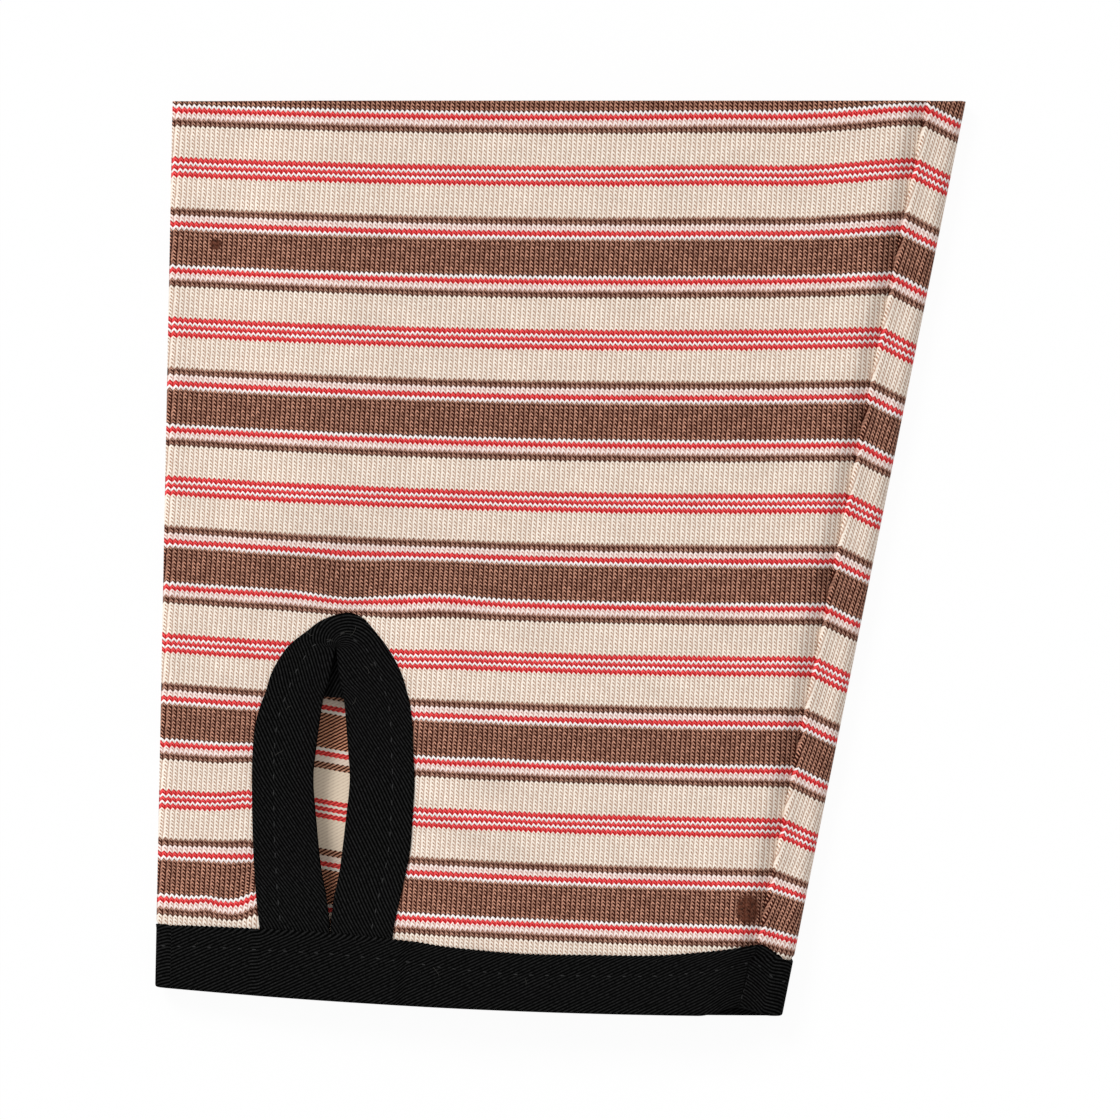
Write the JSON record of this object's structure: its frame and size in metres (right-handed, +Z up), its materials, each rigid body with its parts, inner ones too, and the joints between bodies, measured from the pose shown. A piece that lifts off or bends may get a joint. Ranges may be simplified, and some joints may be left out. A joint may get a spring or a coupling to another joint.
{
  "type": "knitted sleeve cuff",
  "caption": "Open tube of striped jersey lying flat, with a bound keyhole slit in the front and a twill binding round the hem.",
  "frame": {"origin": "middle of the lying cuff's outline, on the surface it lies on", "axes": "+Y from the bound hem to the straight raw cut, +X to the sewn side, +Z up out of the front layer"},
  "size_m": [0.1459, 0.1647, 0.0108],
  "materials": {
    "jersey": "single jersey, combed cotton, cream with brown, red and white yarn-dyed stripes",
    "twill": "black cotton twill tape, pressed double",
    "dark_thread": "black spun polyester sewing thread",
    "pale_thread": "beige spun polyester overlock thread"
  },
  "bodies": {
    "root": {"sleeve_panel": "jersey", "keyhole_binding": "twill", "hem_binding": "twill", "keyhole_topstitch_needle_thread": "dark_thread", "keyhole_topstitch_bobbin_thread": "dark_thread", "hem_topstitch_needle_thread": "dark_thread", "hem_topstitch_bobbin_thread": "dark_thread", "hem_binding_join_thread": "dark_thread", "overlock_needle_thread": "pale_thread", "overlock_lower_looper_thread": "pale_thread", "overlock_upper_looper_thread": "pale_thread"}
  },
  "joints": []
}
